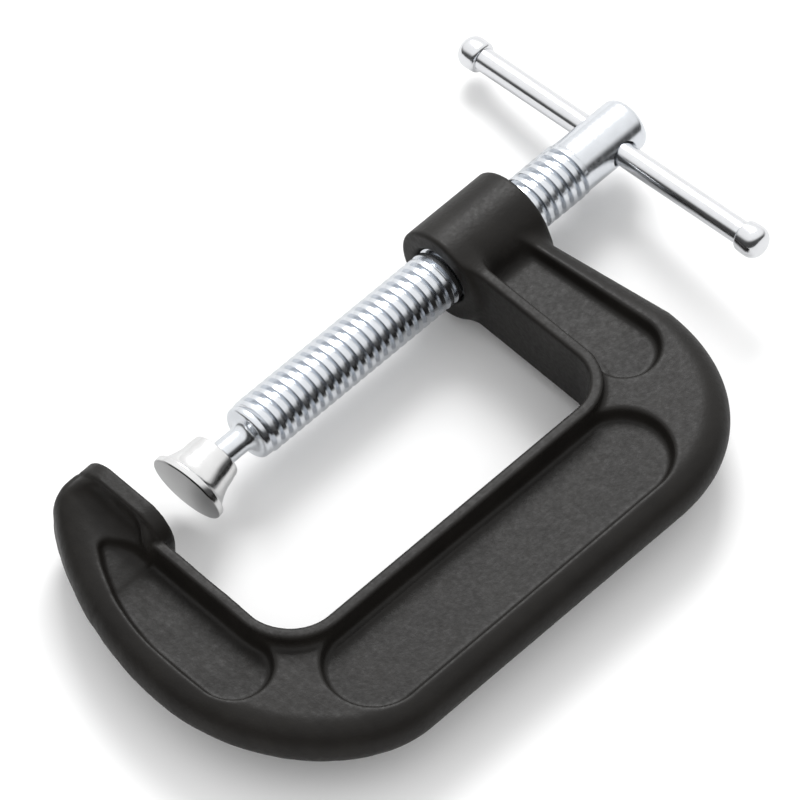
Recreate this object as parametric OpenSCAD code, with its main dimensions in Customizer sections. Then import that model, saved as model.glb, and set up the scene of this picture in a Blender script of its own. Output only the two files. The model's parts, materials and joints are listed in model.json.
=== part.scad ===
// Screw G-clamp, 75 mm capacity, lying on its side.
// Origin: where the screw axis meets the working face of the anvil.
// +X runs along the screw towards its head, the spine is at -Y, +Z is up.

/* [Opening] */
// Widest opening between the anvil and the pad
capacity = 75; // [70:1:80]
// Opening at which the clamp is drawn
opening = 14.6; // [4:0.2:40]

/* [Frame casting] */
// Screw axis to the inner face of the spine
throat_depth = 51.7; // [48:0.1:60]
// Width of the spine, inner face to outer face
spine_w = 32.2; // [30:0.1:36]
// Radius of the throat corner beside the boss
boss_side_r = 10; // [8:0.5:14]
// Radius of the throat corner beside the anvil
anvil_side_r = 12; // [8:0.5:14]
// Thickness of the casting over its inner rim
rim_t = 18.8; // [16:0.2:20]
// Width of the inner rim, measured across the frame
rim_w = 3; // [2.5:0.1:3.5]
// Thickness of the casting over its corners and outer border
border_t = 12.6; // [11:0.2:14]
// Thickness of the web at the bottom of the three recesses
web_t = 6.4; // [6:0.2:10]
// Width of the rounded outer edge, seen from above
edge_r = 7; // [5:0.5:7.5]

/* [Boss] */
// Outside diameter of the screw boss
boss_d = 24; // [22:0.5:28]
// Length of the screw boss along the screw
boss_len = 24.6; // [22:0.2:28]
// How far the boss stands proud of the arm's inner face
boss_proud = 1.7; // [1:0.1:3]
// Diameter of the plain bore that stands in for the tapped hole
bore_d = 14.4; // [14.3:0.05:14.6]

/* [Anvil] */
// Side of the rounded square anvil plate
anvil_w = 27.8; // [26:0.2:31]
// Corner radius of the anvil plate
anvil_corner_r = 8.2; // [7:0.1:12]
// Thickness of the anvil plate
anvil_t = 4.2; // [3.5:0.1:5]
// How far the plate's middle stands off the screw axis, away from the spine
anvil_shift = 1.2; // [0:0.1:2]

/* [Screw] */
// Outside diameter of the thread
thread_d = 14; // [13.8:0.05:14]
// Distance from one thread crest to the next
pitch = 2.5; // [2.5:0.1:3]
// Depth of the thread
thread_depth = 1.25; // [1:0.05:1.4]
// Diameter of the plain head and of the collar
head_d = 13.3; // [12.5:0.1:13.6]
// Length of the plain head
head_len = 19; // [17:0.5:22]
// Middle of the cross hole to the end of the head
hole_to_end = 8.2; // [7:0.1:9]
// Diameter of the cross hole
hole_d = 6.2; // [6.1:0.05:6.6]
// Diameter of the neck between the collar and the ball
neck_d = 6.2; // [6:0.1:6.4]
// Diameter of the ball end
ball_d = 8.2; // [8:0.05:8.3]

/* [Swivel pad] */
// Diameter of the pad's face
pad_d = 19.1; // [18:0.1:21]
// Length of the pad from its face to its lip
pad_len = 11.2; // [11:0.1:12]
// Furthest that the pad tips over on the ball
pad_tilt = 12; // [8:0.5:12]
// Direction in which the pad droops, from the spine (0) to straight down (90)
droop_dir = 67; // [0:1:90]

/* [Tommy bar] */
// Diameter of the bar
bar_d = 5.8; // [5.4:0.1:6]
// Distance between the middles of the two end knobs
bar_span = 89.6; // [80:0.5:100]
// Turn of the bar about the screw axis
bar_turn = -8.1; // [-90:0.1:90]
// How far the bar has slid through the head, towards its spine-side end
bar_slide = 2.5; // [-30:0.5:30]
// Diameter of an end knob
knob_d = 8; // [7:0.1:9]
// Length of an end knob
knob_len = 6.5; // [5.5:0.1:8]

/* [Hidden] */
$fn = 96;

// Clearance between parts that move on each other
run_gap = 0.05;

// Places along the screw axis
pad_face_to_ball = 6.5;
ball_x = opening + pad_face_to_ball;
neck_len = 13;
collar_x = ball_x + neck_len;
collar_len = 1.6;
boss_x = capacity + pad_face_to_ball + neck_len + 1.1;
arm_x = boss_x + boss_proud;
hole_x = boss_x + boss_len + 29.2;
head_end_x = hole_x + hole_to_end;
head_x = head_end_x - head_len;

// Outline of the frame, seen from above
low_x = -3;
spine_in_y = -throat_depth;
spine_out_y = -throat_depth - spine_w;
up_c = [arm_x - boss_side_r, spine_in_y + boss_side_r];
low_c = [low_x + anvil_side_r, spine_in_y + anvil_side_r];
arm_start_y = -3;
arm_end_y = 15.3;
arm_root_x = arm_x + 20.3;
up_out_c = [up_c[0], up_c[1] - 3.5];
up_out_a = 37.1;
up_out_power = 2.2;
low_out_a = 38.2;
low_out_power = 1.9;
low_arc_r = 84.5;
low_arc_c = [low_c[0] - low_out_a + low_arc_r, low_c[1] + 3];
low_arc_turn = asin((arm_end_y - low_arc_c[1]) / low_arc_r);

// Recesses as chains of circles: [x, y, radius]
recess_up = [[arm_x + 8.9, 2, 6.3], [arm_x + 10.9, spine_in_y + 6, 8.9]];
recess_spine = [[8.7, spine_in_y - 14.2, 12], [arm_x - 10.2, spine_in_y - 14.2, 12]];
recess_low = [[-13.8, spine_in_y + 7.2, 9.3], [-13.9, -29, 9.2], [-12.9, -18.6, 8.3], [-11.6, -10, 6.2],
              [-11.6, -3.2, 2.5]];

function mix(a, b, f) = a + (b - a) * f;
function smooth(f) = let (c = min(max(f, 0), 1)) c * c * (3 - 2 * c);
// A point on an ellipse (power 2) or a superellipse, which is squarer the higher its power
function on_ellipse(c, a, b, turn, power = 2) =
    let (cs = cos(turn), sn = sin(turn))
    [c[0] + a * sign(cs) * pow(abs(cs), 2 / power), c[1] + b * sign(sn) * pow(abs(sn), 2 / power)];

// Signed distance from a point to the skin of two joined circles
function link_distance(p, c0, c1) =
    let (a = [c0[0], c0[1]], b = [c1[0], c1[1]], v = b - a,
         f = min(max((p - a) * v / (v * v), 0), 1))
    norm(p - a - f * v) - mix(c0[2], c1[2], f);
function chain_distance(p, chain) =
    min([for (i = [0 : len(chain) - 2]) link_distance(p, chain[i], chain[i + 1])]);
function recess_share(p) =
    smooth(0.25 - min(chain_distance(p, recess_up), chain_distance(p, recess_spine),
                      chain_distance(p, recess_low)) / 2);

// Stations along the frame: [point on the inner edge, point on the outer edge]
arm_steps = 14;
corner_steps = 20;
spine_steps = 16;
upper_arm = [for (i = [0 : arm_steps - 1]) let (f = i / arm_steps)
    [[arm_x, mix(arm_start_y, up_c[1], f)],
     [mix(arm_root_x, up_out_c[0] + up_out_a, f), mix(arm_start_y, up_out_c[1], f)]]];
upper_corner = [for (i = [0 : corner_steps - 1]) let (turn = -90 * i / corner_steps)
    [on_ellipse(up_c, boss_side_r, boss_side_r, turn),
     on_ellipse(up_out_c, up_out_a, up_out_c[1] - spine_out_y, turn, up_out_power)]];
spine = [for (i = [0 : spine_steps - 1]) let (x = mix(up_c[0], low_c[0], i / spine_steps))
    [[x, spine_in_y], [x, spine_out_y]]];
lower_corner = [for (i = [0 : corner_steps - 1]) let (turn = -90 - 90 * i / corner_steps)
    [on_ellipse(low_c, anvil_side_r, anvil_side_r, turn),
     on_ellipse([low_c[0], low_arc_c[1]], low_out_a, low_arc_c[1] - spine_out_y, turn, low_out_power)]];
lower_arm = [for (i = [0 : arm_steps]) let (f = i / arm_steps, turn = 180 - low_arc_turn * f)
    [[low_x, mix(low_c[1], arm_end_y, f)], on_ellipse(low_arc_c, low_arc_r, low_arc_r, turn)]];
stations = concat(upper_arm, upper_corner, spine, lower_corner, lower_arm);

// Half of the frame's section at one station, as points [distance from the inner edge, half thickness]
web_steps = 10;
edge_steps = 5;
rim_round = 0.8;
wall_w = 1.8;
end_swell = 2.8;
end_edge_r = 3.8;
function border_half(at) = border_t / 2 + end_swell * (at[0] < low_c[0] ? smooth((at[1] + 6) / 21) : 0);
function edge_width(at) = mix(edge_r, end_edge_r, at[0] < low_c[0] ? smooth((at[1] - 5) / 8) : 0);
function land(p, q, w, s) =
    let (at = mix(p, q, s / w)) mix(border_half(at), web_t / 2, recess_share(at));
function half_section(p, q) =
    let (w = norm(q - p), rim_k = min(1, 0.42 * w / (rim_w + wall_w)), edge = min(edge_width(q), 0.42 * w),
         wall_s = (rim_w + wall_w) * rim_k, edge_s = w - edge)
    concat(
        [[0, rim_t / 2 - rim_round]],
        [[rim_round * rim_k, rim_t / 2], [(rim_w - rim_round) * rim_k, rim_t / 2]],
        [for (f = [0.25, 0.75])
            [mix(rim_w * rim_k, wall_s, f), mix(rim_t / 2, land(p, q, w, wall_s), mix(0.1, 0.9, f))]],
        [for (i = [0 : web_steps]) let (s = mix(wall_s, edge_s, i / web_steps)) [s, land(p, q, w, s)]],
        [for (i = [1 : edge_steps]) let (turn = 90 * i / edge_steps)
            [edge_s + edge * sin(turn), border_half(q) * cos(turn)]]);
function ring(p, q) =
    let (w = norm(q - p), half = half_section(p, q), n = len(half))
    concat([for (h = half) concat(mix(p, q, h[0] / w), h[1])],
           [for (i = [n - 2 : -1 : 0]) concat(mix(p, q, half[i][0] / w), -half[i][1])]);

module frame_body() {
    rings = [for (s = stations) ring(s[0], s[1])];
    m = len(rings[0]);
    outermost = (m - 1) / 2;
    last = len(rings) - 1;
    polyhedron(
        points = [for (r = rings) each r],
        faces = concat(
            [for (k = [0 : outermost - 1]) each
                [[k, m - 1 - k, k + 1], [last * m + k, last * m + k + 1, last * m + m - 1 - k]]],
            [for (k = [0 : outermost - 2]) each
                [[k + 1, m - 1 - k, m - 2 - k],
                 [last * m + k + 1, last * m + m - 2 - k, last * m + m - 1 - k]]],
            [for (j = [0 : last - 1], k = [0 : m - 1]) let (a = j * m + k, b = j * m + (k + 1) % m)
                [a, b, a + m]],
            [for (j = [0 : last - 1], k = [0 : m - 1]) let (a = j * m + k, b = j * m + (k + 1) % m)
                [b, b + m, a + m]]),
        convexity = 6);
}

// A solid turned about the X axis, from an outline of [x, radius] points
module turned(outline) {
    rotate([90, 0, 90]) rotate_extrude() polygon([for (p = outline) [p[1], p[0]]]);
}

module frame() {
    bore_chamfer = 0.8;
    boss_round = 1;
    boss_r = boss_d / 2;
    color("#35332f") difference() {
        union() {
            frame_body();
            turned([[boss_x, 0], [boss_x, boss_r - boss_round], [boss_x + 0.3, boss_r - 0.3],
                    [boss_x + boss_round, boss_r], [boss_x + boss_len - boss_round, boss_r],
                    [boss_x + boss_len - 0.3, boss_r - 0.3], [boss_x + boss_len, boss_r - boss_round],
                    [boss_x + boss_len, 0]]);
            translate([-anvil_t, anvil_shift, 0]) rotate([90, 0, 90]) linear_extrude(anvil_t) {
                side = anvil_w - 2 * anvil_corner_r;
                square([anvil_w, side], center = true);
                square([side, anvil_w], center = true);
                for (sx = [-1, 1], sy = [-1, 1])
                    translate([sx * side / 2, sy * side / 2]) circle(anvil_corner_r);
            }
        }
        translate([boss_x - 5, 0, 0]) rotate([0, 90, 0]) cylinder(h = boss_len + 10, d = bore_d);
        translate([boss_x - 1, 0, 0]) rotate([0, 90, 0])
            cylinder(h = 1 + bore_chamfer, r1 = bore_d / 2 + 1 + bore_chamfer, r2 = bore_d / 2);
        translate([boss_x + boss_len - bore_chamfer, 0, 0]) rotate([0, 90, 0])
            cylinder(h = 1 + bore_chamfer, r1 = bore_d / 2, r2 = bore_d / 2 + 1 + bore_chamfer);
    }
}

// Groove in the neck that holds the retaining ring
groove_x = ball_x + 2.95;
groove_w = 0.8;
groove_d = neck_d - 0.6;

module spindle() {
    neck_fillet = 2.4;
    collar_round = 0.9;
    head_chamfer = 1.4;
    head_r = head_d / 2;
    neck_r = neck_d / 2;
    thread_x = collar_x + collar_len;
    turns = floor((head_x - thread_x) / pitch);
    crest = 0.45 * pitch;
    flank = 0.13 * pitch;
    root_r = thread_d / 2 - thread_depth;
    color("#c9ccd0") difference() {
        union() {
            translate([ball_x, 0, 0]) sphere(d = ball_d);
            turned(concat(
                [[ball_x, 0], [ball_x, neck_r - 0.4], [groove_x, neck_r - 0.4], [groove_x, groove_d / 2],
                 [groove_x + groove_w, groove_d / 2], [groove_x + groove_w, neck_r]],
                [for (turn = [0 : 15 : 90])
                    [collar_x - neck_fillet * (1 - sin(turn)), neck_r + neck_fillet * (1 - cos(turn))]],
                [for (turn = [0 : 30 : 90])
                    [collar_x + collar_round * (1 - cos(turn)), head_r - collar_round * (1 - sin(turn))]],
                [[thread_x - thread_depth / 2, head_r]],
                [for (i = [0 : turns - 1]) let (x = thread_x + i * pitch) each
                    [[x, root_r], [x + flank, thread_d / 2], [x + flank + crest, thread_d / 2],
                     [x + 2 * flank + crest, root_r]]],
                [[head_x, root_r], [head_x, head_r], [head_end_x - head_chamfer, head_r],
                 [head_end_x, head_r - head_chamfer], [head_end_x, 0]]));
        }
        translate([hole_x, 0, 0]) rotate([bar_turn, 0, 0]) rotate([90, 0, 0])
            cylinder(h = 2 * head_d, d = hole_d, center = true);
    }
}

module retaining_ring() {
    side_gap = 0.08;
    ring_gap_turn = 22;
    inner_r = groove_d / 2 + run_gap;
    ring_r = ball_d / 2 + 0.3;
    color("#55585c") translate([groove_x + side_gap, 0, 0]) rotate([90, 0, 90])
        rotate_extrude(angle = 360 - ring_gap_turn)
            translate([inner_r, 0]) square([ring_r - inner_r, groove_w - 2 * side_gap]);
}

// The pad is drawn square to the screw about its ball centre, then tipped
module swivel_pad() {
    rim_edge = 1.9;
    body_r = 6.7;
    lip_r = 5.95;
    lip_edge = 0.6;
    mouth_r = ball_d / 2 + 0.15;
    cavity_r = 5.85;
    cavity_from = acos(0.8 / cavity_r);
    cavity_to = asin(mouth_r / cavity_r);
    face_x = -pad_face_to_ball;
    lip_x = face_x + pad_len;
    flare_x = face_x + 6.8;
    rim_r = pad_d / 2;
    color("#d6d8d8") translate([ball_x, 0, 0]) rotate(a = pad_tilt, v = [0, -sin(droop_dir), cos(droop_dir)])
    difference() {
        turned(concat(
            [[face_x, 0], [face_x, rim_r - 0.4], [face_x + 0.4, rim_r], [face_x + rim_edge - 0.4, rim_r],
             [face_x + rim_edge, rim_r - 0.4]],
            [for (turn = [15 : 15 : 90])
                [flare_x - (flare_x - face_x - rim_edge) * cos(turn),
                 body_r + (rim_r - 0.4 - body_r) * mix(cos(turn), 1 - sin(turn), 0.5)]],
            [[lip_x - lip_edge, lip_r], [lip_x, lip_r - lip_edge], [lip_x, 0]]));
        sphere(d = ball_d + 2 * run_gap);
        turned(concat(
            [[cavity_r * cos(cavity_from), 0]],
            [for (i = [0 : 5]) let (turn = mix(cavity_from, cavity_to, i / 5))
                [cavity_r * cos(turn), cavity_r * sin(turn)]],
            [[lip_x + 1, mouth_r], [lip_x + 1, 0]]));
    }
}

// Places its children on the bar's own axis, which is +Z from the middle of the bar
module on_bar() {
    translate([hole_x, 0, 0]) rotate([bar_turn, 0, 0]) rotate([90, 0, 0]) translate([0, 0, bar_slide])
        children();
}

spigot_d = 4;
spigot_len = 4.2;
shoulder_z = (bar_span - knob_len) / 2;

module tommy_bar() {
    color("#c9ccd0") on_bar() {
        cylinder(h = 2 * shoulder_z, d = bar_d, center = true);
        cylinder(h = 2 * (shoulder_z + spigot_len), d = spigot_d, center = true);
    }
}

// An end knob: a barrel with a blind bore that is pressed on the bar's spigot
module knob() {
    inner_round = 0.9;
    outer_round = 2.2;
    band = 0.25;
    knob_r = knob_d / 2;
    press_gap = 0.01;
    difference() {
        rotate_extrude() polygon(concat(
            [[0, 0]],
            [for (turn = [0 : 22.5 : 90])
                [knob_r - inner_round + inner_round * sin(turn) - band, inner_round * (1 - cos(turn))]],
            [[knob_r, inner_round + 0.8], [knob_r, knob_len - outer_round - 0.8]],
            [for (turn = [90 : -22.5 : 0])
                [knob_r - outer_round + outer_round * sin(turn) - band,
                 knob_len - outer_round * (1 - cos(turn))]],
            [[0, knob_len]]));
        translate([0, 0, -1]) cylinder(h = 1 + spigot_len + 0.1, d = spigot_d + 2 * press_gap);
    }
}

module bar_knob_spine_side() {
    color("#c9ccd0") on_bar() translate([0, 0, shoulder_z]) knob();
}

module bar_knob_free_side() {
    color("#c9ccd0") on_bar() mirror([0, 0, 1]) translate([0, 0, shoulder_z]) knob();
}

frame();
spindle();
retaining_ring();
swivel_pad();
tommy_bar();
bar_knob_spine_side();
bar_knob_free_side();
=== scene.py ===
"""Looks of the screw G-clamp. The shape code works in millimetres, and Blender's objects are in metres."""

import json
import math

import bmesh
import bpy
import numpy as np
from mathutils import Matrix, Vector


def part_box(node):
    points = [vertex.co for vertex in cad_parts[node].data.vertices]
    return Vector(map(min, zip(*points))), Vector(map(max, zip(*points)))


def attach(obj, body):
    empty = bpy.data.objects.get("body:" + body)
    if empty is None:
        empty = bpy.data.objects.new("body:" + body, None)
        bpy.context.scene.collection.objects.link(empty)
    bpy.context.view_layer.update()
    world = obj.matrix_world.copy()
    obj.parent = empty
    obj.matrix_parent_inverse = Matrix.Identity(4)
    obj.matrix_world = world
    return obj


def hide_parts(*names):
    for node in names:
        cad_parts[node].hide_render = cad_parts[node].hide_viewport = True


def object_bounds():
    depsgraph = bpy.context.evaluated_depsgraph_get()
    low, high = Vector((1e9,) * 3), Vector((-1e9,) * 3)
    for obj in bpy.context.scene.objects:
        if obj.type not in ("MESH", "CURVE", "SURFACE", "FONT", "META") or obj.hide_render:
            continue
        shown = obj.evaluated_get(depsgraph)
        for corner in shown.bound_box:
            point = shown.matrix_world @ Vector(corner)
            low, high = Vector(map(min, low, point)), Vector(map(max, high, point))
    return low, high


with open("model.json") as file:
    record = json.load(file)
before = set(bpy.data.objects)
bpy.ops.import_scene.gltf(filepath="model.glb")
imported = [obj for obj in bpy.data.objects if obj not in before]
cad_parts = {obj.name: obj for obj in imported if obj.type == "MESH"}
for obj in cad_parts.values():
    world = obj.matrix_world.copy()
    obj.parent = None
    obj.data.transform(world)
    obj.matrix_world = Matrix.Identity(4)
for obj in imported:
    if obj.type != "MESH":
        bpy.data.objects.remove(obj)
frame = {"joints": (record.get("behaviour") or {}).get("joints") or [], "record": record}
cad_lo, cad_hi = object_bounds()

MM = 0.001

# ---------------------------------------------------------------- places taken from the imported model
joints = {joint["name"]: joint for joint in frame["joints"]}
mounts = {mount["name"]: mount for mount in frame["record"]["mounts"]}


def box_mm(node):
    """Lowest and highest corner of a CAD node, in millimetres."""
    lo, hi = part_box(node)
    return lo / MM, hi / MM


frame_lo, frame_hi = box_mm("frame")
spine_knob_lo, spine_knob_hi = box_mm("bar_knob_spine_side")
free_knob_lo, free_knob_hi = box_mm("bar_knob_free_side")

ball_x = joints["screw_turn"]["pos_m"][0] / MM
pad_axis = Vector(mounts["pad_face"]["axis"])
pad_face_to_ball = (Vector(joints["pad_tilt"]["pos_m"]) - Vector(mounts["pad_face"]["pos_m"])).length / MM
bar_axis = Vector(joints["bar_slide"]["axis"])
head_end_x = box_mm("spindle")[1].x
hole_x = (spine_knob_lo.x + spine_knob_hi.x) / 2
bar_middle = (spine_knob_lo + spine_knob_hi + free_knob_lo + free_knob_hi) / 4

# ---------------------------------------------------------------- sizes of the casting, as in the CAD model
anvil_w = frame_hi.z - frame_lo.z
anvil_corner_r = 8.2
anvil_t = 4.2
anvil_shift = 1.2
boss_r = 12.0
boss_x = 95.6
boss_len = 24.6
bore_r = 7.2
bore_chamfer = 0.8
rim_half = 9.4
rim_w = 3.0
border_half = 6.3
end_swell = 2.8
web_half = 3.2
edge_r = 7.0
end_edge_r = 3.8
arm_x = 97.3
low_x = -3.0
throat_depth = 51.7
spine_out_y = frame_lo.y
boss_side_r = 10.0
anvil_side_r = 12.0
arm_start_y = -3.0
arm_end_y = 15.3
arm_root_x = arm_x + 20.3
up_corner = (arm_x - boss_side_r, boss_side_r - throat_depth)
low_corner = (low_x + anvil_side_r, anvil_side_r - throat_depth)
up_out_centre = (up_corner[0], up_corner[1] - 3.5)
up_out_half = (37.1, up_out_centre[1] - spine_out_y)
up_out_power = 2.2
low_arc_r = 84.5
outline_past_end = 8.0
low_out_centre = (low_corner[0], low_corner[1] + 3.0)
low_out_half = (38.2, low_out_centre[1] - spine_out_y)
low_out_power = 1.9
low_arc_centre = (low_corner[0] - low_out_half[0] + low_arc_r, low_out_centre[1])
low_arc_turn = math.degrees(math.asin((arm_end_y + outline_past_end - low_arc_centre[1]) / low_arc_r))

# The three recesses, each a chain of circles (x, y, radius)
spine_recess_y = -14.2 - throat_depth
recess_circles = (
    ((arm_x + 8.9, 2.0, 6.3), (arm_x + 10.9, 6.0 - throat_depth, 8.9)),
    ((8.7, spine_recess_y, 12.0), (arm_x - 10.2, spine_recess_y, 12.0)),
    (
        (-13.8, 7.2 - throat_depth, 9.3),
        (-13.9, -29.0, 9.2),
        (-12.9, -18.6, 8.3),
        (-11.6, -10.0, 6.2),
        (-11.6, -3.2, 2.5),
    ),
)

# Details of the casting that the CAD model leaves plain
recess_floor_round = 1.3
recess_top_round = 0.9
recess_inset = 0.2
recess_draft = 0.27
recess_draft_depth = 4.0
tip_floor_rise = 1.5
ledge_w = 2.5
ledge_round = 0.4
rim_corner_r = 0.5
rim_foot_round = 1.6
rim_end_round = 2.0
throat_edge_round = 0.9
rim_to_edge = 0.8
rim_end_y = -9.5
rim_end_x = 6.0
arm_end_round = 1.4
plate_corner_r = 0.5
plate_fillet = 0.5
plate_back_fillet = 7.5
plate_blend = 0.5
plate_border = 0.7
plate_border_round = 1.2
boss_corner_r = 0.8
boss_fillet = 2.6
bore_edge_round = 0.25
inset_past_end = 0.02

# ---------------------------------------------------------------- sizes of the steel parts
run_gap = 0.05
ball_r = 4.1
neck_r = 3.1
neck_fillet = 2.4
neck_len = 13.0
collar_x = ball_x + neck_len
collar_len = 1.6
collar_round = 1.0
ball_meets_neck = 49
head_r = 6.65
head_round = 2.2
head_len = 19.0
thread_r = 7.0
thread_depth = 1.25
pitch = 2.5
thread_runout = 1.6
hole_r = 3.1
hole_flare = 0.6
hole_flare_from = 5.8
ring_below_neck = 0.25
ring_turn = 338
bar_r = 2.9
bar_span = 89.6
spigot_r = 2.0
spigot_len = 4.2
knob_r = 4.0
knob_len = 6.5
# Keeps the knob's own box, once turned, inside the CAD model's box
knob_end_gap = 0.36
pad_r = 9.55
pad_len = 11.2
pad_body_r = 6.7
pad_lip_r = 5.95
pad_flare = 6.8
pad_rim = 1.9
pad_rim_round = 0.45
pad_cavity_r = 5.85
pad_mouth_r = 4.25

ROUND_STEPS = 120
GRID_PITCH = 0.57


# ---------------------------------------------------------------- signed distances for the casting
def smooth_step(f):
    c = np.clip(f, 0, 1)
    return c * c * (3 - 2 * c)


def ramp(value, start, end):
    """A smooth rise from 0 at start to 1 at end."""
    return smooth_step((value - start) / (end - start))


def smooth_min(a, b, k):
    """The lesser of two distances, blended where they differ by less than k."""
    h = np.clip(0.5 + 0.5 * (b - a) / k, 0, 1)
    return b + (a - b) * h - k * h * (1 - h)


def smooth_max(a, b, k):
    return -smooth_min(-a, -b, k)


def rounded_corner(a, b, r):
    """Signed distance to the corner of two faces at distances a and b, rounded by r."""
    return np.hypot(np.maximum(a + r, 0), np.maximum(b + r, 0)) + np.minimum(np.maximum(a, b) + r, 0) - r


def superellipse(centre, half, power, degrees):
    """Points on a superellipse at the given angles."""
    turn = np.radians(degrees)
    c, s = np.cos(turn), np.sin(turn)
    x = centre[0] + half[0] * np.sign(c) * np.abs(c) ** (2 / power)
    y = centre[1] + half[1] * np.sign(s) * np.abs(s) ** (2 / power)
    return np.stack([x, y], 1)


def outer_outline(steps=60):
    """The frame's outer edge seen from above, closed across the open throat."""
    return np.concatenate(
        [
            [[arm_x, arm_start_y], [arm_root_x, arm_start_y]],
            superellipse(up_out_centre, up_out_half, up_out_power, np.linspace(0, -90, steps)),
            superellipse(low_out_centre, low_out_half, low_out_power, np.linspace(-90, -180, steps)),
            superellipse(
                low_arc_centre, (low_arc_r, low_arc_r), 2, np.linspace(180, 180 - low_arc_turn, steps)[1:]
            ),
            [[low_x, arm_end_y + outline_past_end]],
        ]
    )


def outline_distance(x, y, outline, chunk=20000):
    """Signed distance from each point to a closed outline, and its gradient."""
    start = outline
    end = np.roll(outline, -1, 0)
    run = end - start
    length2 = (run**2).sum(1)
    distance, grad = np.empty(len(x)), np.empty((len(x), 2))
    for first in range(0, len(x), chunk):
        part = slice(first, first + chunk)
        px, py = x[part, None], y[part, None]
        t = np.clip(((px - start[:, 0]) * run[:, 0] + (py - start[:, 1]) * run[:, 1]) / length2, 0, 1)
        dx = px - start[:, 0] - t * run[:, 0]
        dy = py - start[:, 1] - t * run[:, 1]
        d2 = dx * dx + dy * dy
        nearest = d2.argmin(1)
        rows = np.arange(len(nearest))
        d = np.sqrt(d2[rows, nearest])
        crosses = ((start[:, 1] <= py) != (end[:, 1] <= py)) & (
            px < run[:, 0] * (py - start[:, 1]) / np.where(run[:, 1] == 0, 1, run[:, 1]) + start[:, 0]
        )
        sign = np.where(crosses.sum(1) % 2, -1.0, 1.0)
        distance[part] = sign * d
        scale = sign / np.maximum(d, 1e-6)
        grad[part, 0] = dx[rows, nearest] * scale
        grad[part, 1] = dy[rows, nearest] * scale
    return distance, grad


def throat_distance(x, y):
    """Signed distance to the throat, which is open towards +Y."""
    r = np.where(x > (arm_x + low_x) / 2, boss_side_r, anvil_side_r)
    return rounded_corner(np.maximum(low_x - x, x - arm_x), -throat_depth - y, r)


def smooth_chain(chain, steps=6):
    """More circles on a smooth curve through a chain of circles."""
    c = np.array([chain[0], *chain, chain[-1]])
    f = np.linspace(0, 1, steps, endpoint=False)[:, None]
    parts = []
    for before, start, end, after in zip(c, c[1:], c[2:], c[3:]):
        square = 2 * before - 5 * start + 4 * end - after
        cube = 3 * start - before - 3 * end + after
        parts.append(start + ((end - before) * f + square * f**2 + cube * f**3) / 2)
    return np.concatenate([*parts, c[-1:]])


recesses = [smooth_chain(chain) if len(chain) > 2 else chain for chain in recess_circles]


def recess_distance(x, y):
    """Signed distance to the nearest recess."""
    least = 1e9
    for chain in recesses:
        for (x0, y0, r0), (x1, y1, r1) in zip(chain, chain[1:]):
            vx, vy = x1 - x0, y1 - y0
            f = np.clip(((x - x0) * vx + (y - y0) * vy) / (vx * vx + vy * vy), 0, 1)
            off_line = np.hypot(x - x0 - f * vx, y - y0 - f * vy)
            least = np.minimum(least, off_line - (r0 + (r1 - r0) * f))
    return least


def cast_waves(x, y, z):
    """Shallow unevenness of a sand casting, as the depth of metal missing in millimetres."""
    broad = np.sin(0.47 * x + 0.9 * np.sin(0.31 * y + 0.4 * z))
    broad = broad * np.sin(0.41 * y - 0.33 * z + 1.3 * np.sin(0.23 * x))
    fine = np.sin(1.31 * x - 0.77 * y + 0.6 * z) * np.sin(0.93 * y + 1.17 * x - 0.8 * z)
    return 0.07 + 0.05 * broad + 0.02 * fine


def casting_distance(x, y, z, edge):
    """Signed distance to the casting. edge is the distance to the outer outline."""
    throat = throat_distance(x, y)
    up = np.abs(z)
    on_low_arm = ramp(x, low_corner[0], low_corner[0] - 4)
    top = border_half + end_swell * ramp(y, -6, 15) * on_low_arm
    edge_round = edge_r + (end_edge_r - edge_r) * ramp(y, 5, 13) * on_low_arm
    body = rounded_corner(edge, (up - top) * edge_round / border_half, edge_round)

    recess = recess_distance(x, y) + recess_inset + recess_draft * np.clip(top - up, 0, recess_draft_depth)
    web = web_half + tip_floor_rise * ramp(y, -16, -1) * on_low_arm
    body = smooth_max(body, -smooth_max(recess, web - up, recess_floor_round), recess_top_round)

    # Beside the rim the recess floor stands a little higher along the spine, and not on the low arm
    ledge = web_half + 0.45 * ramp(x, 70, 40) + 0.15 * ramp(x, 90, 99) - ramp(x, 7, 4)
    step = np.maximum(throat - rim_w - ledge_w, np.maximum(up - ledge, edge + edge_r))
    body = smooth_min(body, step, ledge_round)

    rim = rounded_corner(throat - rim_w, up - rim_half, rim_corner_r)
    rim = np.maximum(rim, edge + rim_to_edge)
    rim = smooth_max(rim, np.minimum(y - rim_end_y, rim_end_x - x), rim_end_round)
    shape = smooth_min(body, rim, rim_foot_round)
    shape = smooth_max(shape, -throat, throat_edge_round)
    shape = rounded_corner(shape, y - arm_end_y, arm_end_round)

    side = anvil_w / 2 - anvil_corner_r
    plate_edge = rounded_corner(np.abs(y - anvil_shift) - side, up - side, 0) - anvil_corner_r
    plate = rounded_corner(plate_edge, np.abs(x + anvil_t / 2) - anvil_t / 2, plate_corner_r)
    fillet = smooth_min(shape, plate, plate_fillet + plate_back_fillet * ramp(x, -1.5, -4))
    fillet = smooth_max(fillet, plate_edge + plate_border, plate_border_round)
    shape = smooth_min(np.minimum(shape, plate), fillet, plate_blend)
    shape = np.maximum(shape, y - arm_end_y + inset_past_end)

    rho = np.hypot(y, z)
    beyond = np.abs(x - boss_x - boss_len / 2) - boss_len / 2
    boss = rounded_corner(rho - boss_r, beyond, boss_corner_r)
    shape = smooth_min(shape, boss, boss_fillet)

    # Only the metal behind the anvil's face is uneven
    shape = shape + cast_waves(x, y, z) * ramp(x, -0.5, -3.5)
    bore = np.maximum(rho - bore_r - np.clip(beyond + bore_chamfer, 0, 2 * bore_chamfer), beyond - 3)
    return smooth_max(shape, -bore, bore_edge_round)


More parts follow.
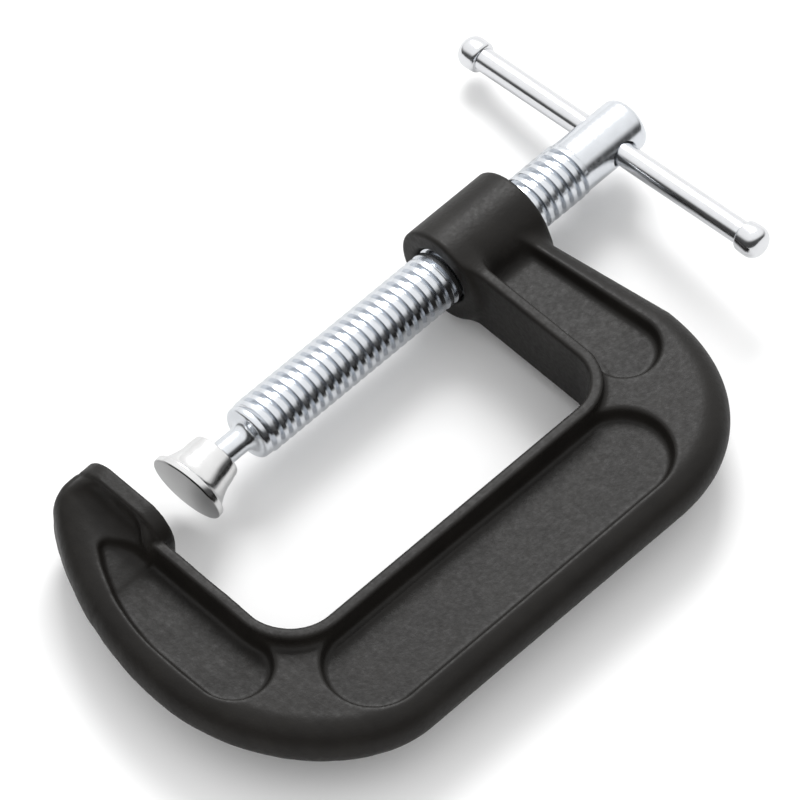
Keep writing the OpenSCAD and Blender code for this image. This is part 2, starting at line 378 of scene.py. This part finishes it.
# ---------------------------------------------------------------- meshes
def surface_net(field):
    """Points (in grid units) and four-cornered faces on the zero surface of a sampled field."""
    inside = field < 0
    nx, ny, nz = (size - 1 for size in field.shape)
    corners = [(i, j, k) for i in (0, 1) for j in (0, 1) for k in (0, 1)]
    count = sum(inside[i : i + nx, j : j + ny, k : k + nz].astype(np.int8) for i, j, k in corners)
    cells = np.argwhere((count > 0) & (count < 8))
    number = np.full(count.shape, -1)
    number[tuple(cells.T)] = np.arange(len(cells))
    total, hits = np.zeros((len(cells), 3)), np.zeros(len(cells))
    faces = []
    for axis in range(3):
        u, v = (axis + 1) % 3, (axis + 2) % 3
        step, du, dv = np.eye(3, dtype=int)[[axis, u, v]]
        for corner in (0 * du, du, dv, du + dv):
            near, far = field[tuple((cells + corner).T)], field[tuple((cells + corner + step).T)]
            crossed = (near < 0) != (far < 0)
            t = np.where(crossed, near / np.where(crossed, near - far, 1), 0)
            total += np.where(crossed[:, None], corner + t[:, None] * step, 0)
            hits += crossed
        low = inside.take(range(field.shape[axis] - 1), axis)
        high = inside.take(range(1, field.shape[axis]), axis)
        at = np.argwhere(low != high)
        outward = low[tuple(at.T)]
        quad = np.stack([number[tuple((at - c).T)] for c in (du + dv, dv, 0 * du, du)], 1)
        faces.append(np.where(outward[:, None], quad, quad[:, ::-1]))
    return cells + total / hits[:, None], np.concatenate(faces)


def settled(points, faces, outline, rounds=3):
    """Evens out the points and puts them exactly on the casting's surface."""
    pairs = np.concatenate([faces[:, [i, (i + 1) % 4]] for i in range(4)])
    neighbours = np.bincount(pairs[:, 0], minlength=len(points))
    probe = 0.02
    for _ in range(rounds):
        mean = np.stack(
            [np.bincount(pairs[:, 0], points[pairs[:, 1], i], len(points)) for i in range(3)], 1
        ) / neighbours[:, None]
        points = points + 0.6 * (mean - points)
        edge, edge_grad = outline_distance(points[:, 0], points[:, 1], outline)
        value = casting_distance(*points.T, edge)
        grad = np.empty_like(points)
        for i in range(3):
            moved = points.copy()
            moved[:, i] += probe
            moved_edge = edge + probe * edge_grad[:, i] if i < 2 else edge
            grad[:, i] = (casting_distance(*moved.T, moved_edge) - value) / probe
        step = value / np.maximum((grad**2).sum(1), 0.25)
        points = points - np.clip(step, -0.4, 0.4)[:, None] * grad
    return points


def new_piece(name, points_mm, faces, sharp_degrees=40):
    """A smooth-shaded mesh object from points in millimetres."""
    mesh = bpy.data.meshes.new(name)
    mesh.from_pydata((np.asarray(points_mm) * MM).tolist(), [], [list(map(int, f)) for f in faces])
    made = bmesh.new()
    made.from_mesh(mesh)
    bmesh.ops.remove_doubles(made, verts=made.verts, dist=0.002 * MM)
    bmesh.ops.recalc_face_normals(made, faces=made.faces)
    made.to_mesh(mesh)
    made.free()
    mesh.polygons.foreach_set("use_smooth", [True] * len(mesh.polygons))
    mesh.set_sharp_from_angle(angle=math.radians(sharp_degrees))
    piece = bpy.data.objects.new(name, mesh)
    bpy.context.scene.collection.objects.link(piece)
    return piece


def arc(z, r, radius, start, end, steps=8):
    """Outline points (height, radius) on an arc about (z, r)."""
    turns = np.radians(np.linspace(start, end, steps + 1))
    return [(z + radius * math.cos(t), r + radius * math.sin(t)) for t in turns]


def rounded_outline(corners, steps=6):
    """Outline points from corners (height, radius, rounding)."""
    points = []
    for i, (z, r, rounding) in enumerate(corners):
        here = Vector((z, r))
        if not rounding or i in (0, len(corners) - 1):
            points.append((z, r))
            continue
        back = (Vector(corners[i - 1][:2]) - here).normalized()
        ahead = (Vector(corners[i + 1][:2]) - here).normalized()
        half = back.angle(ahead) / 2
        reach = rounding / math.tan(half)
        centre = here + (back + ahead).normalized() * (rounding / math.sin(half))
        first = here + back * reach - centre
        sweep = first.angle_signed(here + ahead * reach - centre)
        for k in range(steps + 1):
            arm = first.copy()
            arm.rotate(Matrix.Rotation(-sweep * k / steps, 2))
            points.append(tuple(centre + arm))
    return points


def lathe_points(outline, steps=ROUND_STEPS):
    """Points turned about +Z: a row for each angle up to a full turn, a column for each outline point."""
    turns = np.linspace(0, math.tau, steps + 1)[:, None]
    z, r = np.array(outline, float).T
    return np.stack([r * np.cos(turns), r * np.sin(turns), z + 0 * turns], 2)


def grid_faces(rows, columns):
    """Faces of a grid of points. The last row lies on the first, and is welded to it with the mesh."""
    here = np.arange(rows - 1)[:, None] * columns + np.arange(columns - 1)
    return np.stack([here, here + columns, here + columns + 1, here + 1], 2).reshape(-1, 4)


def turned_piece(name, outline, steps=ROUND_STEPS):
    points = lathe_points(outline, steps)
    return new_piece(name, points.reshape(-1, 3), grid_faces(*points.shape[:2]))


def place(piece, origin_mm, axis):
    """Stands a piece drawn along +Z at origin, along axis."""
    turn = Vector(axis).to_track_quat("Z", "Y").to_matrix().to_4x4()
    piece.matrix_world = Matrix.Translation(Vector(origin_mm) * MM) @ turn


def cut_out(piece, cutter):
    """Takes the cutter's volume out of a piece, and the cutter out of the scene."""
    modifier = piece.modifiers.new("cut", "BOOLEAN")
    modifier.operation, modifier.solver, modifier.object = "DIFFERENCE", "EXACT", cutter
    shown = piece.evaluated_get(bpy.context.evaluated_depsgraph_get())
    mesh = bpy.data.meshes.new_from_object(shown)
    piece.modifiers.remove(modifier)
    piece.data = mesh
    mesh.set_sharp_from_angle(angle=math.radians(40))
    bpy.data.objects.remove(cutter)


# ---------------------------------------------------------------- pieces
def make_casting():
    margin = 2.0
    lo, hi = np.array(frame_lo) - margin, np.array(frame_hi) + margin
    axes = [np.arange(a, b, GRID_PITCH) for a, b in zip(lo, hi)]
    outline = outer_outline()
    x, y = (a.ravel() for a in np.meshgrid(axes[0], axes[1], indexing="ij"))
    edge = outline_distance(x, y, outline)[0].reshape(len(axes[0]), len(axes[1]), 1)
    field = casting_distance(axes[0][:, None, None], axes[1][None, :, None], axes[2][None, None, :], edge)
    points, faces = surface_net(field)
    points = settled(lo + points * GRID_PITCH, faces, outline)
    return new_piece("frame_casting", points, faces, sharp_degrees=60)


def thread_profile():
    """One turn of the thread as (share of the pitch, share of the depth), with its corners eased."""
    flank, crest, ease = 0.13, 0.45, 0.022
    points = []
    for start, rising in ((0, True), (flank + crest, False)):
        top = start + flank
        side = [(start - ease, 0), (start, 0), (start + ease, 0.1)]
        side += [(top - ease, 0.9), (top, 1), (top + ease, 1)]
        points += [(at + 2 * ease, depth if rising else 1 - depth) for at, depth in side]
    return points


def make_spindle():
    """Ball, neck, collar, helical thread and head as one surface, with the cross hole cut through."""
    thread_x0 = collar_x + collar_len - ball_x
    thread_x1 = head_end_x - head_len - ball_x
    before = arc(0, 0, ball_r, 180, ball_meets_neck, 24)
    neck_from = before[-1][0]
    before += [(neck_from + 0.15, neck_r - 0.02), (neck_from + 0.35, neck_r)]
    before += [(neck_len - neck_fillet - 3.5, neck_r)]
    before += [
        (neck_len - neck_fillet * (1 - math.sin(t)), neck_r + neck_fillet * (1 - math.cos(t)))
        for t in np.radians(np.linspace(0, 80, 9))
    ]
    before += arc(neck_len + collar_round, head_r - collar_round, collar_round, 180, 90, 8)
    before += [(thread_x0 - 0.2, head_r)]
    end = head_end_x - ball_x
    after = rounded_outline([(thread_x1 + 0.2, head_r, 0), (end, head_r, head_round), (end, 0, 0)], 10)
    profile = thread_profile()
    turns = int((thread_x1 - thread_x0) / pitch) + 3
    z = np.array([(k + a) * pitch for k in range(-1, turns) for a, _ in profile]) + thread_x0
    depth = np.array([b for _ in range(-1, turns) for _, b in profile])
    angles = np.linspace(0, 1, ROUND_STEPS + 1)[:, None]
    z = z + angles * pitch
    share = ramp(z, thread_x0, thread_x0 + thread_runout) * ramp(z, thread_x1, thread_x1 - thread_runout)
    root = thread_r - thread_depth
    full = root + thread_depth * depth
    r = head_r + (full - head_r) * share
    z = np.clip(z, thread_x0, thread_x1)
    r = np.where((z <= thread_x0) | (z >= thread_x1), head_r, r)
    thread = np.stack([r * np.cos(angles * math.tau), r * np.sin(angles * math.tau), z], 2)
    points = np.concatenate([lathe_points(before), thread, lathe_points(after)], 1)
    piece = new_piece("screw_spindle", points.reshape(-1, 3), grid_faces(*points.shape[:2]), 50)
    place(piece, (ball_x, 0, 0), (1, 0, 0))
    reach = 2 * head_r
    flare_end = (reach, hole_r + hole_flare * (reach - hole_flare_from))
    half = [(hole_flare_from, hole_r), flare_end, (reach, 0)]
    cutter = turned_piece("hole_cutter", [(-h, r) for h, r in reversed(half)] + half, 48)
    place(cutter, (hole_x, 0, 0), bar_axis)
    cut_out(piece, cutter)
    return piece


def make_ring():
    """Split retaining ring with rounded edges, in the neck's groove."""
    lo, hi = box_mm("retaining_ring")
    outer, inner, wide = hi.z, neck_r - ring_below_neck, hi.x - lo.x
    edge = 0.15
    section = [
        (edge, outer), (wide - edge, outer), (wide, outer - edge), (wide, inner + edge),
        (wide - edge, inner), (edge, inner), (0, inner + edge), (0, outer - edge),
    ]
    sides = len(section)
    turns = np.radians(np.linspace(0, ring_turn, 60))
    points = [(r * math.cos(t), r * math.sin(t), z) for t in turns for z, r in section]
    faces = [
        (j * sides + i, j * sides + (i + 1) % sides, (j + 1) * sides + (i + 1) % sides, (j + 1) * sides + i)
        for j in range(len(turns) - 1)
        for i in range(sides)
    ]
    faces += [tuple(range(sides)), tuple(len(points) - 1 - i for i in range(sides))]
    piece = new_piece("pad_retaining_ring", points, faces)
    place(piece, (lo.x, 0, 0), (1, 0, 0))
    return piece


def make_pad():
    """Bell-shaped swivel pad, drawn along its own axis from the ball's centre away from its face."""
    face, rim_in = -pad_face_to_ball, pad_rim_round
    lip = face + pad_len
    flare = np.radians(np.linspace(6, 90, 15))
    outside = [(face, 0), (face, pad_r - rim_in)]
    outside += arc(face + rim_in, pad_r - rim_in, rim_in, 180, 90, 6)
    outside += arc(face + pad_rim - rim_in, pad_r - rim_in, rim_in, 90, 10, 6)
    start = outside[-1]
    outside += [
        (face + pad_flare - (face + pad_flare - start[0]) * math.cos(t),
         pad_body_r + (start[1] - pad_body_r) * (math.cos(t) + 1 - math.sin(t)) / 2)
        for t in flare
    ]
    lip_corners = [
        (lip - 2.5, pad_lip_r + 0.5, 0),
        (lip, pad_lip_r, 0.8),
        (lip, pad_mouth_r, 0.3),
        (lip - 1, pad_mouth_r, 0),
    ]
    outside += rounded_outline(lip_corners, 8)
    mouth = math.degrees(math.asin(pad_mouth_r / pad_cavity_r))
    cavity = arc(0, 0, pad_cavity_r, mouth, 70, 6)
    seat_r = ball_r + run_gap
    seat_from = math.degrees(math.acos(cavity[-1][0] / seat_r)) if cavity[-1][0] < seat_r else 0
    inside = cavity + [(cavity[-1][0], seat_r * math.sin(math.radians(seat_from)))]
    inside += arc(0, 0, seat_r, seat_from, 180, 24)[1:]
    piece = turned_piece("pad_bell", outside + inside)
    place(piece, (ball_x, 0, 0), -pad_axis)
    return piece


def make_bar():
    """Tommy bar between its knobs, with a spigot at each end."""
    shoulder = (bar_span - knob_len) / 2
    end = shoulder + spigot_len
    half = [(shoulder, bar_r), (shoulder, spigot_r), (end, spigot_r), (end, 0)]
    outline = [(-z, r) for z, r in reversed(half)] + half
    piece = turned_piece("tommy_bar_rod", outline)
    place(piece, bar_middle, bar_axis)
    return piece


def make_knob(name, outward):
    """Barrel knob, open at its inner end and pressed on the bar's spigot."""
    inner, outer = -knob_len / 2, knob_len / 2 - knob_end_gap
    bore, depth = spigot_r + 0.01, spigot_len + 0.1
    corners = [
        (inner, bore, 0),
        (inner, knob_r - 0.2, 1.1),
        (-0.4, knob_r, 12.0),
        (outer, knob_r - 0.25, 2.6),
        (outer, 0, 0),
    ]
    outline = [(inner + depth, 0), (inner + depth, bore)] + rounded_outline(corners, 10)
    piece = turned_piece(name, outline)
    place(piece, bar_middle + outward * bar_span / 2, outward)
    return piece


# ---------------------------------------------------------------- materials
class Shader:
    """A Principled material and short ways to add nodes to it."""

    def __init__(self, name, **sockets):
        self.material = bpy.data.materials.new(name)
        self.material.use_nodes = True
        self.nodes = self.material.node_tree.nodes
        self.link = self.material.node_tree.links.new
        self.principled = self.nodes["Principled BSDF"]
        for socket, value in sockets.items():
            self.principled.inputs[socket.replace("_", " ")].default_value = value
        self.place = self.nodes.new("ShaderNodeTexCoord").outputs["Object"]
        self.normal = None

    def stretched(self, scale):
        """The piece's own coordinates, scaled by an amount for each axis."""
        node = self.nodes.new("ShaderNodeMapping")
        node.inputs["Scale"].default_value = scale
        self.link(self.place, node.inputs["Vector"])
        return node.outputs[0]

    def noise(self, size_mm, detail=3.0, roughness=0.55, stretch=(1, 1, 1)):
        node = self.nodes.new("ShaderNodeTexNoise")
        node.inputs["Scale"].default_value = 1 / (size_mm * MM)
        node.inputs["Detail"].default_value = detail
        node.inputs["Roughness"].default_value = roughness
        self.link(self.stretched(stretch), node.inputs["Vector"])
        return node.outputs["Fac"]

    def between(self, value, low, high, socket, from_low=0.3, from_high=0.7):
        """Drives a shader socket from a value, from low to high."""
        if isinstance(low, tuple):
            node = self.nodes.new("ShaderNodeValToRGB")
            node.color_ramp.elements[0].position, node.color_ramp.elements[1].position = from_low, from_high
            node.color_ramp.elements[0].color, node.color_ramp.elements[1].color = (*low, 1), (*high, 1)
            self.link(value, node.inputs["Fac"])
        else:
            node = self.nodes.new("ShaderNodeMapRange")
            limits = {"From Min": from_low, "From Max": from_high, "To Min": low, "To Max": high}
            for name, number in limits.items():
                node.inputs[name].default_value = number
            self.link(value, node.inputs["Value"])
        self.link(node.outputs[0], self.principled.inputs[socket])

    def paint_shade(self, height_mm, tint):
        """Painted shade: mixes a darker tint into the colour below a height on the piece's own axis."""
        split, below = self.nodes.new("ShaderNodeSeparateXYZ"), self.nodes.new("ShaderNodeMapRange")
        self.link(self.place, split.inputs[0])
        self.link(split.outputs["Z"], below.inputs["Value"])
        for name, number in (("From Min", height_mm + 0.1), ("From Max", height_mm - 0.1)):
            below.inputs[name].default_value = number * MM
        mix = self.nodes.new("ShaderNodeMixRGB")
        self.link(below.outputs[0], mix.inputs["Fac"])
        self.link(self.principled.inputs["Base Color"].links[0].from_socket, mix.inputs["Color1"])
        mix.inputs["Color2"].default_value = (*tint, 1)
        self.link(mix.outputs[0], self.principled.inputs["Base Color"])

    def bump(self, height, depth_mm, strength=1.0):
        node = self.nodes.new("ShaderNodeBump")
        node.inputs["Distance"].default_value = depth_mm * MM
        node.inputs["Strength"].default_value = strength
        self.link(height, node.inputs["Height"])
        if self.normal:
            self.link(self.normal, node.inputs["Normal"])
        self.normal = node.outputs["Normal"]
        self.link(self.normal, self.principled.inputs["Normal"])


def powder_coat():
    shader = Shader("black_powder_coat", Metallic=0.0, IOR=1.5, Specular_IOR_Level=0.22)
    shader.between(shader.noise(9.0), (0.0078, 0.0069, 0.0061), (0.0116, 0.0104, 0.0091), "Base Color")
    shader.between(shader.noise(1.2), 0.40, 0.52, "Roughness")
    shader.bump(shader.noise(3.2, 2.0), 0.075)
    shader.bump(shader.noise(0.75, 2.0), 0.032)
    shader.bump(shader.noise(0.28, 1.0), 0.012)
    return shader.material


def zinc_plate(name, tint, roughness, stretch, painted_shade_below=None):
    """Bright zinc on steel, with fine lines from its making. Below a height on its axis it can take painted
    shade, a darker tint in its colour.
    """
    shader = Shader(name, Metallic=1.0)
    pale = tuple(c * 1.05 for c in tint)
    shader.between(shader.noise(2.6), tint, pale, "Base Color")
    if painted_shade_below is not None:
        shader.paint_shade(painted_shade_below, tuple(c * 0.44 for c in tint))
    shader.between(shader.noise(0.9, stretch=stretch), roughness * 0.75, roughness * 1.3, "Roughness")
    shader.bump(shader.noise(0.5, 2.0, stretch=stretch), 0.004)
    shader.bump(shader.noise(1.7, 2.0), 0.008)
    return shader.material


def dress(piece, body, node, material):
    """Puts a material on a piece, and lets it ride in place of its CAD node."""
    piece.data.materials.append(material)
    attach(piece, body)
    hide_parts(node)


# How much finer a noise is on each axis of a piece, for lines that run along it or around it
ALONG, AROUND = (1, 1, 0.12), (0.15, 0.15, 1)
screw_zinc = zinc_plate("zinc_on_rolled_screw", (0.74, 0.765, 0.80), 0.20, AROUND)
bar_zinc = zinc_plate("zinc_on_drawn_bar", (0.79, 0.80, 0.82), 0.16, ALONG)
# Painted shade: the pad's face is darkened in colour to stand in for the shaded floor it reflects.
pad_painted_shade_below = 0.3 - pad_face_to_ball
pad_zinc = zinc_plate("zinc_on_turned_pad", (0.80, 0.80, 0.80), 0.17, AROUND, pad_painted_shade_below)
ring_steel = zinc_plate("spring_steel_ring", (0.42, 0.43, 0.45), 0.32, ALONG)

dress(make_casting(), "frame", "frame", powder_coat())
dress(make_spindle(), "screw", "spindle", screw_zinc)
dress(make_ring(), "pad_carrier", "retaining_ring", ring_steel)
dress(make_pad(), "pad", "swivel_pad", pad_zinc)
dress(make_bar(), "bar", "tommy_bar", bar_zinc)
for side, outward in (("spine", bar_axis), ("free", -bar_axis)):
    node = f"bar_knob_{side}_side"
    dress(make_knob(f"knob_{side}_side", outward), "bar", node, bar_zinc)


# ---------------------------------------------------------------- floor, light and camera
def make_floor():
    """A pale floor that is less bright to the light it throws back than it is to the camera."""
    half = 3.0
    mesh = bpy.data.meshes.new("floor")
    corners = [(-half, -half, 0), (half, -half, 0), (half, half, 0), (-half, half, 0)]
    mesh.from_pydata(corners, [], [(0, 1, 2, 3)])
    floor = bpy.data.objects.new("floor", mesh)
    floor.location.z = cad_lo.z
    bpy.context.scene.collection.objects.link(floor)
    material = bpy.data.materials.new("pale_floor")
    material.use_nodes = True
    nodes, link = material.node_tree.nodes, material.node_tree.links.new
    nodes.remove(nodes["Principled BSDF"])
    rays = nodes.new("ShaderNodeLightPath")
    shown = nodes["Material Output"].inputs["Surface"]
    for ray, level in (("Is Camera Ray", 0.94), ("Is Glossy Ray", 0.70), (None, 0.56)):
        diffuse = nodes.new("ShaderNodeBsdfDiffuse")
        diffuse.inputs["Color"].default_value = (level, level, level, 1)
        if ray is None:
            link(diffuse.outputs[0], shown)
            continue
        mix = nodes.new("ShaderNodeMixShader")
        link(rays.outputs[ray], mix.inputs[0])
        link(diffuse.outputs[0], mix.inputs[2])
        link(mix.outputs[0], shown)
        shown = mix.inputs[1]
    floor.data.materials.append(material)


def make_sky():
    """One large soft light, brightest above and beyond the object and dark on the camera's side."""
    world = bpy.data.worlds.new("soft_box")
    world.use_nodes = True
    bpy.context.scene.world = world
    nodes, link = world.node_tree.nodes, world.node_tree.links.new
    tilted = nodes.new("ShaderNodeVectorMath")
    tilted.operation = "DOT_PRODUCT"
    tilted.inputs[1].default_value = Vector((0.36, 0.36, 0.86)).normalized()
    ramp = nodes.new("ShaderNodeValToRGB")
    link(nodes.new("ShaderNodeTexCoord").outputs["Generated"], tilted.inputs[0])
    link(tilted.outputs["Value"], ramp.inputs["Fac"])
    link(ramp.outputs["Color"], nodes["Background"].inputs["Color"])
    stops = ((0.0, 0.06), (0.18, 0.08), (0.44, 0.85), (1.0, 1.0))
    for _ in stops[2:]:
        ramp.color_ramp.elements.new(0.5)
    for element, (height, level) in zip(ramp.color_ramp.elements, stops):
        element.position, element.color = height, (level, level, level, 1)
    nodes["Background"].inputs["Strength"].default_value = 1.08


def make_lamp(name, azimuth, elevation, watts, size, distance=0.9, in_reflections=True):
    """A square soft lamp aimed at the object's middle."""
    lamp = bpy.data.lights.new(name, "AREA")
    lamp.energy, lamp.size = watts, size
    lit = bpy.data.objects.new(name, lamp)
    a, e = math.radians(azimuth), math.radians(elevation)
    away = Vector((math.sin(a) * math.cos(e), -math.cos(a) * math.cos(e), math.sin(e)))
    lit.location = (cad_lo + cad_hi) / 2 + away * distance
    lit.rotation_euler = away.to_track_quat("Z", "Y").to_euler()
    lit.visible_glossy = in_reflections
    bpy.context.scene.collection.objects.link(lit)


def make_camera():
    """A long lens from the front left, well above the clamp."""
    azimuth, elevation, distance, shown_width = -45.13, 55.27, 2.205, 0.1793
    a, e = math.radians(azimuth), math.radians(elevation)
    away = Vector((math.sin(a) * math.cos(e), -math.cos(a) * math.cos(e), math.sin(e)))
    right = Vector((math.cos(a), math.sin(a), 0))
    clamp_middle, to_left, to_top = Vector((0.060, -0.025, 0)), 0.00143, 0.00724
    aim = clamp_middle - right * to_left + away.cross(right) * to_top
    camera = bpy.data.objects.new("camera", bpy.data.cameras.new("camera"))
    camera.data.sensor_width = 36
    camera.data.lens = camera.data.sensor_width * distance / shown_width
    camera.data.clip_end = 20
    camera.location = aim + away * distance
    camera.rotation_euler = away.to_track_quat("Z", "Y").to_euler()
    bpy.context.scene.collection.objects.link(camera)
    bpy.context.scene.camera = camera


make_floor()
make_sky()
make_lamp("key", azimuth=135, elevation=46, watts=5.5, size=0.4)
make_lamp("fill", azimuth=-50, elevation=8, watts=8, size=0.8, in_reflections=False)
make_camera()
bpy.context.scene.view_settings.view_transform = "Standard"
